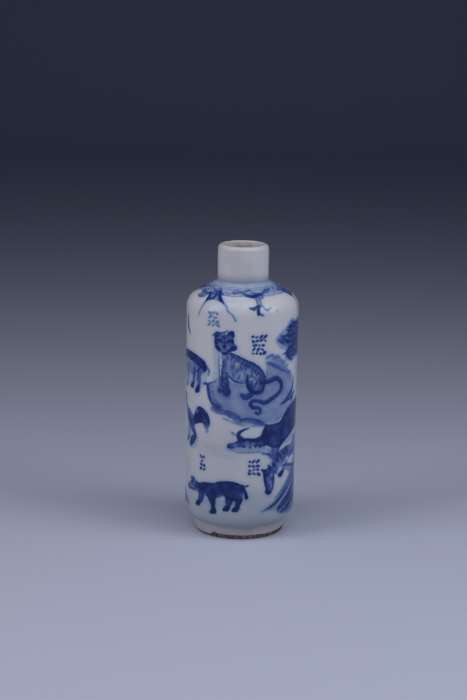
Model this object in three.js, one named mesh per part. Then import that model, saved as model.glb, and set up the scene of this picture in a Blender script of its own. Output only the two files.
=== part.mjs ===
// A cylindrical porcelain snuff bottle: one thrown and turned piece, open at the mouth and hollow.
// Millimetres, +Z up, the origin at the centre of the circle that the foot stands on.
// The outline runs from the middle of the underside, round the foot, up the outside, over the lip
// and down the inside to the middle of the floor. Every point is [radius, height].
import * as THREE from "three";

// Driving dimensions
const HEIGHT = 80; // foot to lip
const BODY_RADIUS = 15.3; // under the shoulder
const BODY_TAPER = 0.15; // how much narrower the body is at its base
const WALL = 2.2; // body wall
const FLOOR = 2.4; // thickness of the floor
const NECK_RADIUS = 6.95;
const NECK_WALL = 1.8;
const SEGMENTS = 72; // sides round the axis

// Foot ring
const FOOT_RADIUS = 12.65; // where it meets the body
const FOOT_HEIGHT = 3.9;
const FOOT_TAPER = 0.25; // how much narrower its rim is
const FOOT_FLAT = 0.9; // width of the ring that it stands on
const FOOT_BEVEL = 0.6; // bare edge outside the flat, across
const FOOT_BEVEL_HEIGHT = 0.8;
const FOOT_INSIDE = 0.35; // rounding of the rim's inner edge
const RECESS = 2.4; // depth of the hollow under the floor

// Body
const BASE_CURVE_WIDTH = 2.45; // the body's undercut above the foot
const BASE_CURVE_HEIGHT = 4.1;
const SHOULDER_START = 62.9; // height where the wall turns in
const SHOULDER_CURVE = 4.3; // its rounding
const SHOULDER_SLOPE = 30; // degrees above the horizontal
const NECK_FILLET = 0.7;
const FLOOR_CURVE = 3; // rounding inside, between the floor and the wall

// Lip
const LIP_CURVE = 1.15; // rounding outside
const LIP_EDGE = 0.3; // rounding inside
const BORE_RADIUS = NECK_RADIUS - NECK_WALL;

const radians = THREE.MathUtils.degToRad;
const slope = radians(SHOULDER_SLOPE);

// Points of a quarter of an ellipse, or part of one, about [r, z], from one angle to another in degrees.
function arc(r, z, radiusR, radiusZ, from, to, steps) {
  return Array.from({ length: steps + 1 }, (_, i) => {
    const a = radians(from + ((to - from) * i) / steps);
    return [r + radiusR * Math.cos(a), z + radiusZ * Math.sin(a)];
  });
}

// Points strictly between two others on a straight line.
function between([r0, z0], [r1, z1], pieces) {
  return Array.from({ length: pieces - 1 }, (_, i) => {
    const t = (i + 1) / pieces;
    return [r0 + (r1 - r0) * t, z0 + (z1 - z0) * t];
  });
}

// The underside's hollow, the ring that the bottle stands on, and the foot's side.
function foot() {
  const rim = FOOT_RADIUS - FOOT_TAPER;
  const outerFlat = rim - FOOT_BEVEL;
  const innerFlat = outerFlat - FOOT_FLAT;
  const inside = innerFlat - FOOT_INSIDE;
  return [
    [0, RECESS],
    [inside / 2, RECESS],
    ...arc(inside - FOOT_INSIDE, RECESS - FOOT_INSIDE, FOOT_INSIDE, FOOT_INSIDE, 90, 0, 2),
    ...arc(innerFlat, FOOT_INSIDE, FOOT_INSIDE, FOOT_INSIDE, 180, 270, 2),
    ...arc(outerFlat, FOOT_BEVEL_HEIGHT, FOOT_BEVEL, FOOT_BEVEL_HEIGHT, -90, 0, 3),
    [FOOT_RADIUS, FOOT_HEIGHT],
  ];
}

// The outside: the undercut above the foot, the wall, the shoulder and the neck.
function outside() {
  const baseRadius = BODY_RADIUS - BODY_TAPER;
  const baseTop = FOOT_HEIGHT + BASE_CURVE_HEIGHT;
  const undercut = arc(
    baseRadius - BASE_CURVE_WIDTH, baseTop, BASE_CURVE_WIDTH, BASE_CURVE_HEIGHT, -90, 0, 7,
  );
  const corner = arc(
    BODY_RADIUS - SHOULDER_CURVE, SHOULDER_START,
    SHOULDER_CURVE, SHOULDER_CURVE, 0, 90 - SHOULDER_SLOPE, 7,
  );
  const wall = between(undercut.at(-1), corner[0], 4);
  const neckFillet = NECK_FILLET * Math.tan((Math.PI / 2 - slope) / 2);
  const filletZ = shoulderMeets(NECK_RADIUS) + neckFillet;
  const turn = arc(
    NECK_RADIUS + NECK_FILLET, filletZ, NECK_FILLET, NECK_FILLET, 270 - SHOULDER_SLOPE, 180, 4,
  );
  return [...undercut, ...wall, ...corner, ...turn];
}

// The lip, from the outside of the neck over its flat crest and into the bore.
function lip() {
  return [
    ...arc(NECK_RADIUS - LIP_CURVE, HEIGHT - LIP_CURVE, LIP_CURVE, LIP_CURVE, 0, 90, 6),
    ...arc(BORE_RADIUS + LIP_EDGE, HEIGHT - LIP_EDGE, LIP_EDGE, LIP_EDGE, 90, 180, 3),
  ];
}

// The hollow: the bore, the underside of the shoulder, the wall's inner face and the floor.
function inside() {
  const innerRadius = BODY_RADIUS - WALL;
  const innerCurve = SHOULDER_CURVE - WALL;
  const boreEnd = shoulderMeets(BORE_RADIUS) - WALL / Math.cos(slope);
  const floorZ = RECESS + FLOOR;
  const floorRadius = innerRadius - BODY_TAPER;
  const shoulder = arc(
    innerRadius - innerCurve, SHOULDER_START, innerCurve, innerCurve, 90 - SHOULDER_SLOPE, 0, 4,
  );
  const floorCorner = arc(
    floorRadius - FLOOR_CURVE, floorZ + FLOOR_CURVE, FLOOR_CURVE, FLOOR_CURVE, 0, -90, 4,
  );
  const wall = between(shoulder.at(-1), floorCorner[0], 3);
  return [[BORE_RADIUS, boreEnd], ...shoulder, ...wall, ...floorCorner, [0, floorZ]];
}

// Height where the line of the shoulder's slope reaches a radius.
function shoulderMeets(radius) {
  const cornerR = BODY_RADIUS - SHOULDER_CURVE + SHOULDER_CURVE * Math.sin(slope);
  const cornerZ = SHOULDER_START + SHOULDER_CURVE * Math.cos(slope);
  return cornerZ + (cornerR - radius) * Math.tan(slope);
}

const glazedPorcelain = new THREE.MeshStandardMaterial({
  name: "glazed_porcelain",
  color: 0xd4d8e0,
  roughness: 0.12,
  metalness: 0,
});

const outline = [...foot(), ...outside(), ...lip(), ...inside()];
const geometry = new THREE.LatheGeometry(
  outline.map(([r, z]) => new THREE.Vector2(r, z)),
  SEGMENTS,
);
geometry.rotateX(Math.PI / 2); // the lathe turns about Y, and the bottle stands along Z

const bottle = new THREE.Mesh(geometry, glazedPorcelain);
bottle.name = "bottle";

const snuffBottle = new THREE.Group();
snuffBottle.add(bottle);

export default snuffBottle;
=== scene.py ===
# A cylindrical porcelain snuff bottle, painted in cobalt under a clear glaze, standing on pale paper.
# The vessel is one turned surface, and the painting is worked out on it stroke by stroke. Sizes are
# in mm, and are turned to metres where something is made.
import math
import bpy
import numpy as np
from mathutils import Matrix, Vector


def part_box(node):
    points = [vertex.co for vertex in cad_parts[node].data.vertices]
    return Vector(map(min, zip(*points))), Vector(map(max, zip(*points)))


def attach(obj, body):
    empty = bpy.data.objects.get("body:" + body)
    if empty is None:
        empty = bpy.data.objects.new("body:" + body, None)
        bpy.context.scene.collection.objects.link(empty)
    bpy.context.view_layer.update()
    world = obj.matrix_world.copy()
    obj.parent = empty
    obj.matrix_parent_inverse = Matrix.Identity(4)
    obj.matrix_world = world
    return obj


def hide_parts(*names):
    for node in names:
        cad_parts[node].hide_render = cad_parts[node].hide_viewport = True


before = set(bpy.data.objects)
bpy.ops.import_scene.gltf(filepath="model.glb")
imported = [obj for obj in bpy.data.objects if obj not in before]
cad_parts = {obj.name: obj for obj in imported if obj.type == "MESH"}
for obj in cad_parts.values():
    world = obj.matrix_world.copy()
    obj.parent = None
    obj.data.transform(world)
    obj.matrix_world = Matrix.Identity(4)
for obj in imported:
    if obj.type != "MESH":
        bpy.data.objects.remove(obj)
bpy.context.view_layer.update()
lowest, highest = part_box("bottle")
mm = 0.001


def linear(hexColour):
    # sRGB hex to linear red, green, blue and alpha
    parts = [int(hexColour[i:i + 2], 16) / 255 for i in (1, 3, 5)]
    return [c / 12.92 if c <= 0.04045 else ((c + 0.055) / 1.055) ** 2.4 for c in parts] + [1]


def eased(value, start, end):
    # 0 before start, 1 after end, and a smooth S between
    t = np.clip((value - start) / (end - start), 0, 1)
    return t * t * (3 - 2 * t)


viewpoint = {
    "lens": 89.85,  # on a 36 mm sensor
    "distance": 479.3,
    "looksDown": 12.93,  # degrees
    "aim": (-2.28, 0, 50.46),
    "roll": 0.93,  # degrees
}


def setCamera(v):
    camera = bpy.data.cameras.new("camera")
    camera.lens = v["lens"]
    camera.clip_start, camera.clip_end = 0.01, 20
    holder = bpy.data.objects.new("camera", camera)
    bpy.context.scene.collection.objects.link(holder)
    fall = math.radians(v["looksDown"])
    forward = Vector((0, math.cos(fall), -math.sin(fall)))
    holder.location = (Vector(v["aim"]) - forward * v["distance"]) * mm
    upright = forward.to_track_quat("-Z", "Y").to_matrix()
    holder.rotation_euler = (upright @ Matrix.Rotation(math.radians(v["roll"]), 3, "Z")).to_euler()
    bpy.context.scene.camera = holder


setCamera(viewpoint)
print("camera set")


form = {
    "height": (highest.z - lowest.z) / mm,
    "bodyRadius": (highest.x - lowest.x) / 2 / mm,
    "bodyTaper": 0.15,
    "wall": 2.2,
    "floor": 2.4,
    "floorCurve": 3,
    "neckRadius": 6.95,
    "neckWall": 1.8,
    "neckFillet": 0.7,
    "lipCurve": 1.15,
    "lipEdge": 0.3,
    "footRadius": 12.65,
    "footHeight": 3.9,
    "footTaper": 0.25,
    "footFlat": 0.9,
    "footBevel": (0.6, 0.8),  # across and up
    "footInside": 0.35,
    "recess": 2.4,
    "groove": 0.4,  # glaze gathered where the foot meets the body
    "baseCurve": (2.45, 4.1),  # across and up
    "shoulderStart": 62.9,
    "shoulderCurve": 4.3,
    "shoulderSlope": 30,  # degrees
    "columns": 300,
    "frontBias": 0.3,  # columns stand closer in front by this share
    "paintedStep": 0.3,  # between rows
    "plainStep": 0.8,
    "rimStep": 0.16,
    "insideStep": 3.5,
}


def straight(start, end, step):
    # points on a straight line, the last one included and the first left out
    start, end = np.array(start, float), np.array(end, float)
    count = max(1, round(np.hypot(*(end - start)) / step))
    return start + (end - start) * np.linspace(0, 1, count + 1)[1:, None]


def bend(centre, radii, fromAngle, toAngle, step):
    # part of an ellipse about a centre, the last point included and the first left out
    across, up = radii
    turn = math.radians(toAngle - fromAngle)
    count = max(2, round(abs(turn) * (across + up) / 2 / step))
    angle = math.radians(fromAngle) + turn * np.linspace(0, 1, count + 1)[1:]
    return np.stack([centre[0] + across * np.cos(angle), centre[1] + up * np.sin(angle)], 1)


def turnedOutline(f):
    # radius and height of every row, from the middle of the underside round the foot, up the outside,
    # over the lip and down the inside to the middle of the floor
    body, slope = f["bodyRadius"], math.radians(f["shoulderSlope"])
    painted, plain, rim = f["paintedStep"], f["plainStep"], f["rimStep"]
    rimRadius = f["footRadius"] - f["footTaper"]
    bevelAcross, bevelUp = f["footBevel"]
    outerFlat = rimRadius - bevelAcross
    innerFlat = outerFlat - f["footFlat"]
    inside = f["footInside"]
    innerFoot = innerFlat - inside
    curveAcross, curveUp = f["baseCurve"]
    base = body - f["bodyTaper"]
    baseTop = f["footHeight"] + curveUp
    grooveRadius = f["footRadius"] + f["groove"]
    grooveTurn = math.acos((grooveRadius - base + curveAcross) / curveAcross)
    grooveTop = baseTop - curveUp * math.sin(grooveTurn)
    corner, start = f["shoulderCurve"], f["shoulderStart"]
    cornerEnd = (body - corner + corner * math.sin(slope), start + corner * math.cos(slope))

    def shoulderAt(radius):
        return cornerEnd[1] + (cornerEnd[0] - radius) * math.tan(slope)

    fillet = f["neckFillet"]
    filletCentre = (
        f["neckRadius"] + fillet,
        shoulderAt(f["neckRadius"]) + fillet * math.tan((math.pi / 2 - slope) / 2),
    )
    filletStart = (
        filletCentre[0] - fillet * math.sin(slope),
        filletCentre[1] - fillet * math.cos(slope),
    )
    bore = f["neckRadius"] - f["neckWall"]
    lipCentre = (f["neckRadius"] - f["lipCurve"], f["height"] - f["lipCurve"])
    innerWall = body - f["wall"]
    innerCurve = corner - f["wall"]
    boreEnd = shoulderAt(bore) - f["wall"] / math.cos(slope)
    floorTop = f["recess"] + f["floor"]
    floorRadius = innerWall - f["bodyTaper"] - f["floorCurve"]
    innerCornerEnd = (
        innerWall - innerCurve + innerCurve * math.sin(slope),
        start + innerCurve * math.cos(slope),
    )
    stretches = {
        "underside": [
            straight((0, f["recess"]), (innerFoot - inside, f["recess"]), 3 * plain),
            bend((innerFoot - inside, f["recess"] - inside), (inside, inside), 90, 0, rim),
            straight((innerFoot, f["recess"] - inside), (innerFoot, inside), 2 * rim),
            bend((innerFlat, inside), (inside, inside), 180, 270, rim),
        ],
        "foot": [
            straight((innerFlat, 0), (outerFlat, 0), 1.5 * rim),
            bend((outerFlat, bevelUp), (bevelAcross, bevelUp), -90, 0, rim),
            straight((rimRadius, bevelUp), (f["footRadius"], grooveTop - f["groove"]), 1.5 * rim),
            bend((grooveRadius, grooveTop - f["groove"]), (f["groove"],) * 2, 180, 90, rim),
        ],
        "wall": [
            bend(
                (base - curveAcross, baseTop), (curveAcross, curveUp),
                -math.degrees(grooveTurn), 0, 1.5 * painted,
            ),
            straight((base, baseTop), (body, start), painted),
            bend((body - corner, start), (corner, corner), 0, 90 - f["shoulderSlope"], painted),
            straight(cornerEnd, filletStart, painted),
        ],
        "neck": [
            bend(filletCentre, (fillet, fillet), 270 - f["shoulderSlope"], 180, 1.5 * rim),
            straight((f["neckRadius"], filletCentre[1]), (f["neckRadius"], lipCentre[1]), plain),
            bend(lipCentre, (f["lipCurve"],) * 2, 0, 90, 1.5 * rim),
            straight((lipCentre[0], f["height"]), (bore + f["lipEdge"], f["height"]), rim),
            bend(
                (bore + f["lipEdge"], f["height"] - f["lipEdge"]), (f["lipEdge"],) * 2, 90, 180, rim,
            ),
        ],
        "inside": [
            straight((bore, f["height"] - f["lipEdge"]), (bore, boreEnd), f["insideStep"] / 2),
            straight((bore, boreEnd), innerCornerEnd, f["insideStep"]),
            bend(
                (innerWall - innerCurve, start), (innerCurve, innerCurve),
                90 - f["shoulderSlope"], 0, f["plainStep"],
            ),
            straight((innerWall, start), (innerWall - f["bodyTaper"], floorTop + f["floorCurve"]),
                     2 * f["insideStep"]),
            bend((floorRadius, floorTop + f["floorCurve"]), (f["floorCurve"],) * 2, 0, -90, plain),
            straight((floorRadius, floorTop), (f["insideStep"] / 2, floorTop), f["insideStep"]),
        ],
    }
    rows = {name: np.vstack(parts) for name, parts in stretches.items()}
    return rows, baseTop


rows, baseTop = turnedOutline(form)
outline = np.vstack(list(rows.values()))
rowPart = np.repeat(list(rows), [len(r) for r in rows.values()])
radius, height = outline.T
alongOutline = np.r_[0, np.cumsum(np.hypot(*np.diff(outline, axis=0).T))]
onWall = rowPart == "wall"
up = alongOutline - np.interp(baseTop, height[onWall], alongOutline[onWall]) + baseTop

# column angles: 0 faces the front, and they stand closer there: u - bias * sin(u)
even = (np.arange(form["columns"]) + 0.5) / form["columns"] * 2 * math.pi - math.pi
around = even - form["frontBias"] * np.sin(even)
girth = 2 * math.pi * form["bodyRadius"]
print(f"outline worked out: {len(outline)} rows, {form['columns']} columns")

# The painting is laid on the unrolled wall: s runs round the body from the middle of the front, to the
# right, and h up along the outline, which is the height on the straight wall. A layer holds how far
# inside its nearest stroke each spot is, and how deep that stroke's cobalt is.

paintTop = 78
neckFoot = 75.1  # where the shoulder meets the neck
paintedRows = np.flatnonzero((rowPart == "wall") | (rowPart == "neck") & (up < paintTop))
wallH, wallS = np.meshgrid(up[paintedRows], around * form["bodyRadius"], indexing="ij")
wallH, wallS = wallH.ravel(), wallS.ravel()
farOff = -1.5  # beyond this a stroke leaves a spot alone
layers = {}
for name in ("line", "wash", "pale"):
    layers[name] = {"edge": np.full(wallS.size, farOff), "tone": np.zeros(wallS.size)}


def curveThrough(points, closed=False, pieces=7):
    # a smooth curve through points: on each stretch a cubic whose slope at a point is half the step
    # between its two neighbours
    p = np.array(points, float)
    if len(p) < 3 and not closed:
        return p
    if closed:
        p = np.vstack([p[-1], p, p[0], p[1]])
    else:
        p = np.vstack([2 * p[0] - p[1], p, 2 * p[-1] - p[-2]])
    before, here, there, after = [q[:, None] for q in (p[:-3], p[1:-2], p[2:-1], p[3:])]
    t = np.linspace(0, 1, pieces, endpoint=False)[None, :, None]
    smooth = here + t * (there - before) / 2 + t**2 * (before - 2.5 * here + 2 * there - after / 2)
    smooth += t**3 * (3 * here - before - 3 * there + after) / 2
    smooth = smooth.reshape(-1, 2)
    return smooth if closed else np.vstack([smooth, p[-2]])


class Brush:
    # a hand at work at one place on the wall: the figure's size, and whether it faces the other way

    def __init__(self, s, h, size=1, mirrored=False):
        self.place = np.array([s, h], float)
        self.size = size
        self.mirrored = mirrored

    def placed(self, points):
        x, y = np.array(points, float).T * self.size
        return self.place + np.stack([-x if self.mirrored else x, y], 1)

    def near(self, path, reach):
        # the spots within reach of a path, measured from its middle, the short way round the body
        middle = path.mean(0)
        ds = (wallS - middle[0] + girth / 2) % girth - girth / 2
        dh = wallH - middle[1]
        room = np.abs(path - middle).max(0) + reach
        picked = np.flatnonzero((np.abs(ds) < room[0]) & (np.abs(dh) < room[1]))
        return picked, np.stack([ds[picked], dh[picked]], 1), path - middle

    def toPieces(self, spots, path):
        # distance from every spot to every straight piece of a path, and the share along it
        run = path[1:] - path[:-1]
        gap = spots[:, None] - path[None, :-1]
        share = np.clip((gap * run).sum(2) / np.maximum((run * run).sum(1), 1e-9), 0, 1)
        away = gap - share[..., None] * run
        return np.hypot(away[..., 0], away[..., 1]), share

    def lay(self, layer, picked, edge, tone):
        # the nearer stroke gives a spot its tone, and the darker one where both cover it
        old, oldTone = layers[layer]["edge"][picked], layers[layer]["tone"][picked]
        both = (edge > 0) & (old > 0)
        chosen = np.where(both, np.maximum(tone, oldTone), np.where(edge > old, tone, oldTone))
        layers[layer]["tone"][picked] = chosen
        layers[layer]["edge"][picked] = np.maximum(edge, old)

    def drawn(self, width, points):
        # how far inside a tapering stroke each spot is: half its width there less the distance
        path = curveThrough(self.placed(points))
        width = np.atleast_1d(width) * self.size
        picked, spots, path = self.near(path, width.max() / 2 - farOff)
        away, share = self.toPieces(spots, path)
        along = (np.arange(len(path) - 1) + share) / (len(path) - 1)
        half = np.interp(along, np.linspace(0, 1, len(width)), width) / 2
        return picked, (half - away).max(1)

    def outlined(self, points):
        # how far inside a closed shape each spot is: an odd number of its sides to the right is inside
        path = curveThrough(self.placed(points), closed=True)
        path = np.vstack([path, path[:1]])
        picked, spots, path = self.near(path, -farOff)
        away = self.toPieces(spots, path)[0].min(1)
        (ax, ay), (bx, by) = path[:-1].T, path[1:].T
        x, y = spots[:, :1], spots[:, 1:]
        crossed = (ay > y) != (by > y)
        crossingX = ax + (y - ay) / np.where(by == ay, 1e-9, by - ay) * (bx - ax)
        inside = (crossed & (x < crossingX)).sum(1) % 2 == 1
        return picked, np.where(inside, away, -away)

    # strokes with a width at each point, sharp, washed or faint

    def line(self, tone, width, *points):
        self.lay("line", *self.drawn(width, points), tone)

    def sweep(self, tone, width, *points):
        self.lay("wash", *self.drawn(width, points), tone)

    def mist(self, tone, width, *points):
        self.lay("pale", *self.drawn(width, points), tone)

    # shapes filled to their outline, washed or faint

    def wash(self, tone, *points):
        self.lay("wash", *self.outlined(points), tone)

    def ground(self, tone, *points):
        self.lay("pale", *self.outlined(points), tone)

    def dots(self, tone, width, *points):
        for x, y in points:
            self.line(tone, width, (x - 0.05, y), (x + 0.05, y))

    def shade(self, change, reach, *points):
        # deepens or lifts the wash round a spot, fading with the square of the distance
        tone = layers["wash"]["tone"]
        for point in self.placed(points):
            picked, spots, _ = self.near(point[None], 2.5 * reach * self.size)
            fade = np.exp(-(spots**2).sum(1) / (reach * self.size) ** 2)
            tone[picked] = np.clip(tone[picked] + change * fade, 0, 1)

    def spare(self, width, *points):
        # a stroke left white through the lines and the wash
        picked, edge = self.drawn(width, points)
        for layer in ("line", "wash"):
            layers[layer]["edge"][picked] = np.minimum(layers[layer]["edge"][picked], -edge)


def tiger(b):
    # seated to the left: flank, forelegs, haunch and a long curling tail
    b.wash(0.5, (-5.6, 6.6), (-3, 7.1), (-1, 6.2), (1, 5.1), (3, 4.2), (4.9, 2.7), (6.2, 1),
           (6.6, -0.7), (5.6, -1.9), (3.4, -2.4), (1.9, -1.5), (0.2, -1), (-1.6, -0.9), (-3.2, 0.2),
           (-4.6, 1.6), (-5.2, 4))
    b.sweep(0.76, (1.0, 1.7, 1.9, 2.1, 1.9, 1.0), (-3.0, 6.7), (-1, 5.6), (1, 4.5), (3, 3.5),
            (4.8, 2.0), (6.0, 0.2))
    b.sweep(0.7, (0.8, 1.4, 1.6, 1.5), (-4.6, 4.9), (-4.7, 1.5), (-4.8, -1.2), (-4.9, -2.8))
    b.sweep(0.86, (0.6, 1.0, 1.2), (-3.9, 1.6), (-3.8, -0.8), (-3.9, -3.0))
    b.wash(0.86, (-4.9, -2.2), (-3.7, -2.2), (-2.9, -3.1), (-2.9, -4.3), (-3.8, -5.0), (-5.0, -4.8),
           (-5.4, -3.6))
    b.wash(0.76, (-5.2, -2.2), (-6.2, -2.8), (-6.5, -3.7), (-5.7, -4.3), (-5.1, -3.6))
    b.sweep(0.8, (1.2, 1.9, 1.6, 1.2), (0.2, -4.4), (1.2, -4.9), (2.4, -4.4), (3.2, -3.6))
    b.sweep(0.84, (0.8, 1.1, 0.7), (3.1, -3.8), (4.3, -4.0), (5.2, -3.6))
    b.shade(-0.18, 0.8, (0.2, 1.0), (2.4, 1.6), (-1.6, 4.2), (-4.9, -4.8), (-5.2, 2.4))
    b.shade(0.15, 0.9, (1.6, 0.2), (-0.8, 2.6), (-2.8, 2.9))
    b.line(0.9, (0.3, 0.6, 0.5), (-3.2, 7.2), (-1, 6.2), (1, 5.1), (3, 4.2), (5, 2.7), (6.3, 0.9),
           (6.7, -0.5))
    b.line(0.72, (0.2, 0.4, 0.3), (-6.2, 6.4), (-6.4, 4), (-6.1, 1.5), (-6.1, -1.5), (-6.5, -3.6))
    b.line(0.92, (0.3, 0.5, 0.5, 0.3), (-5.1, 4.8), (-5.3, 2.2), (-5.5, -0.6), (-5.7, -2.4))
    b.line(0.85, (0.5, 0.6, 0.3), (-3.3, 0.7), (-2.2, -0.5), (-0.6, -1.0), (1.2, -1.0))
    b.wash(0.72, (1.4, 0.8), (3.2, 1.0), (4.8, 0.2), (6.2, -1.0), (6.4, -2.6), (5.8, -4.0), (3.6, -4.2),
           (2.0, -3.2), (1.3, -1.2))
    b.shade(-0.48, 1.1, (4.1, -1.9), (3.2, -0.4))
    b.shade(0.12, 0.7, (2.2, -2.6), (5.9, -0.6))
    b.line(0.9, (0.5, 0.9, 1.0, 0.8, 0.5), (1.6, 1.2), (1.5, -0.8), (2.0, -2.5), (3.3, -3.7),
           (5.0, -3.5))
    for y in (-0.6, -1.4, -2.2):
        b.line(0.86, (0.5, 0.5, 0.2), (1.6, y), (2.5, y - 0.1), (3.3, y + 0.25))
    b.line(0.8, (0.3, 0.6, 0.3), (3.1, 0.6), (4, -0.4), (3.9, -1.6), (3.1, -2.5))
    b.line(0.85, (0.6, 0.7, 0.4), (6.6, -0.8), (6.1, -2.2), (5.7, -3.2))
    tail = [(5.6, -0.9), (7.4, -0.9), (9.8, -0.3), (11.4, -1.2), (12, -3), (11, -4.5), (8.6, -5.8),
            (6.6, -6.7), (4.9, -6.2), (3.2, -6.0), (2.5, -6.8), (3.1, -7.8), (4.6, -8.0), (5.3, -8.8),
            (4.8, -9.7), (4, -9.3)]
    b.sweep(0.84, (1.3, 1.4, 1.2, 1.15, 1.1, 0.8), *tail)
    b.line(0.95, (0.4, 0.5, 0.4, 0.3), *[(x + 0.1, y - 0.4) for x, y in tail[:9]])
    # stripes hang from the back in a curve, with short ones between them
    back = [(-2.2, 6.2), (-0.6, 5.3), (1.4, 4.3), (3.2, 3.3), (4.8, 1.9), (5.8, 0.3)]
    for i, (x, y) in enumerate(curveThrough(back, pieces=2)):
        drop, lean = 1.8 + 1.1 * math.sin(2.3 * i), 0.4 * math.sin(3.7 * i)
        b.line(0.58, (0.5, 0.7, 0.3), (x, y), (x - 0.6, y - 0.5 * drop), (x - 0.5 + lean, y - drop))
    for x, y, lean in [
        (-2.6, 3.2, 0.3), (-1.4, 2.2, -0.2), (-0.1, 2.9, 0.4), (0.7, 1.3, 0.1), (-0.7, 0.6, -0.3),
        (-2.3, 1.0, 0.2), (2.6, 1.6, 0.4), (4.9, -1.2, 0.1), (2.7, -0.9, -0.2), (-3.9, 5.6, 0.2),
    ]:
        b.line(0.56, (0.35, 0.6, 0.3), (x - lean, y + 0.6), (x + 0.1, y), (x - 0.1 + lean, y - 0.6))
    for y in (3.2, 1.5, -0.4, -2.2):
        b.line(0.9, (0.2, 0.4, 0.2), (-5.6, y + 0.2), (-5.1, y - 0.1), (-4.6, y + 0.25))
    b.shade(-0.2, 0.5, (-5.2, 0.9), (-4.0, -1.0), (-5.4, -2.8))


def tigerHead(b):
    # a broad mask with rounded ears, barred brow, dark temples and cheeks, and a heavy muzzle
    b.wash(0.7, (-2.8, 1.2), (-2.0, 2.2), (-0.2, 2.3), (1.3, 2.5), (2.3, 1.8), (2.5, 0.4), (3.5, -0.6),
           (3.3, -1.7), (2.0, -2.2), (1.0, -3.0), (-0.6, -2.9), (-1.8, -2.3), (-2.8, -1.0))
    b.shade(-0.2, 0.5, (-0.9, -1.2), (1.0, -1.2), (0.5, 1.7))
    b.line(0.92, (0.9, 1.5, 0.9), (-2.6, 1.6), (-2.2, 2.3), (-1.5, 2.5))
    b.line(0.94, (0.9, 1.5, 0.9), (1.2, 2.7), (2.0, 2.8), (2.4, 2.0))
    b.line(0.9, (0.3, 0.6, 0.6, 0.3), (-3.6, 1.7), (-2.2, 2.7), (-0.6, 2.7), (1.0, 3.5))
    for x, y, right, up, wide in [
        (-0.7, 2.0, 0.2, -0.8, 0.5), (0.0, 2.2, 0.0, -1.2, 0.7), (0.8, 2.0, -0.2, -0.8, 0.5),
        (-2.5, 0.6, 0.2, -1.2, 1.1), (2.3, 1.0, 0.0, -0.9, 0.9), (-2.3, -1.1, 0.9, -0.9, 1.2),
        (2.9, -1.1, -0.9, -0.4, 1.4), (-0.4, -2.8, 1.2, 0.0, 0.9), (0.0, 0.5, 0.0, -0.9, 0.7),
        (-0.3, -0.9, 0.7, 0.0, 1.1), (0.0, -1.0, 0.0, -0.8, 0.5), (1.0, -2.1, 0.8, 0.1, 0.7),
    ]:
        b.line(0.93, (0.8 * wide, wide, 0.6 * wide), (x, y), (x + 0.6 * right, y + 0.5 * up),
               (x + right, y + up))
    for side in (-1, 1):
        b.line(0.97, (0.5, 1.0, 0.6), (side * 0.7, 0.1), (side * 1.3, 0.7), (side * 2.0, 0.7))
        b.line(0.9, (0.2, 0.4, 0.2), (side * 0.7, -1.9), (side * 1.2, -1.6), (side * 1.9, -1.7))


def goat(b):
    # seen from the side, facing left, with back-swept horns
    b.ground(0.24, (-6.5, 0), (-3, -4), (0, -4.6), (3, -5), (5, -3), (6.2, 0), (6.6, 2), (3, 3),
             (-3, 2))
    b.wash(0.46, (-7, 4), (-3, 4.4), (1, 4.2), (4, 3.4), (5.2, 1.7), (4.6, 0.3), (3.2, 0.5), (1.6, 0.2),
           (0, -0.8), (-3, -0.6), (-6, 0), (-7.6, 1.6))
    b.sweep(0.99, (1.8, 2.3, 2.5, 2.7, 2.6, 1.4), (-8.4, 3.6), (-5, 4.3), (-1, 4.3), (2, 3.7),
            (4.3, 2.9), (5.1, 1.9))
    b.line(1, (1.2, 1.5, 0.9), (4.5, 3.4), (5.2, 2.2), (4.9, 1.2))
    b.sweep(0.66, (2.0, 1.5, 1.1), (3.4, 1.6), (3.0, -0.4), (3.1, -2.2), (2.5, -4.2))
    b.sweep(0.66, (1.8, 1.3, 1.0), (1, 0.6), (0.6, -1.4), (0.5, -2.6), (-0.3, -3.7))
    b.sweep(0.42, (2.2, 1.6, 1.2), (-3.2, 0.4), (-3.3, -2), (-3.8, -4.2))
    b.sweep(0.5, (1.4, 1.0, 0.8), (-5.8, 0.8), (-5.4, -1.8), (-5.8, -3.9))
    b.line(1, (1.0, 1.9, 1.1), (2.8, -3.4), (2.4, -4.4), (1.6, -5.0))
    b.line(1, (0.9, 1.6, 0.8), (0.2, -3.2), (-0.2, -3.8), (-1.0, -4.1))
    b.line(0.9, (0.8, 1.0, 0.6), (-3.7, -3.8), (-4.4, -4.6))
    b.line(0.8, (0.5, 0.6, 0.4), (3.9, 2.0), (2.5, 0.8), (2.4, -0.8), (1.8, -2.2))
    b.line(0.6, (0.5, 0.6, 0.3), (1.0, 2.2), (0.6, 0.6), (1.2, -1.0))
    b.line(0.6, (0.4, 0.5, 0.3), (-2.6, 1.8), (-3.0, 0.2), (-2.6, -1.4))
    b.line(0.6, (1.0, 0.8, 0.4), (5.6, 2.6), (6.7, 1.4), (6.4, 0.1))
    b.sweep(0.8, (2.6, 1.9, 1.5), (-8.0, 3.0), (-9.8, 5.0), (-11.2, 6.8))
    b.wash(0.85, (-13.7, 6.1), (-12.6, 7.6), (-11.1, 8.5), (-10.3, 7.4), (-11.2, 6.2), (-12.8, 5.5))
    b.line(0.95, (0.8, 0.6, 0.2), (-11.2, 8.3), (-10, 9.8), (-8.3, 9.7), (-7.6, 8.4))
    b.line(0.9, (0.6, 0.2), (-12.9, 5.7), (-12.5, 4.1))
    b.line(0.9, (0.7, 0.2), (-10.9, 7.4), (-9.4, 6.9))
    b.spare(0.45, (-12.1, 7.0), (-12.0, 7.0))


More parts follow.
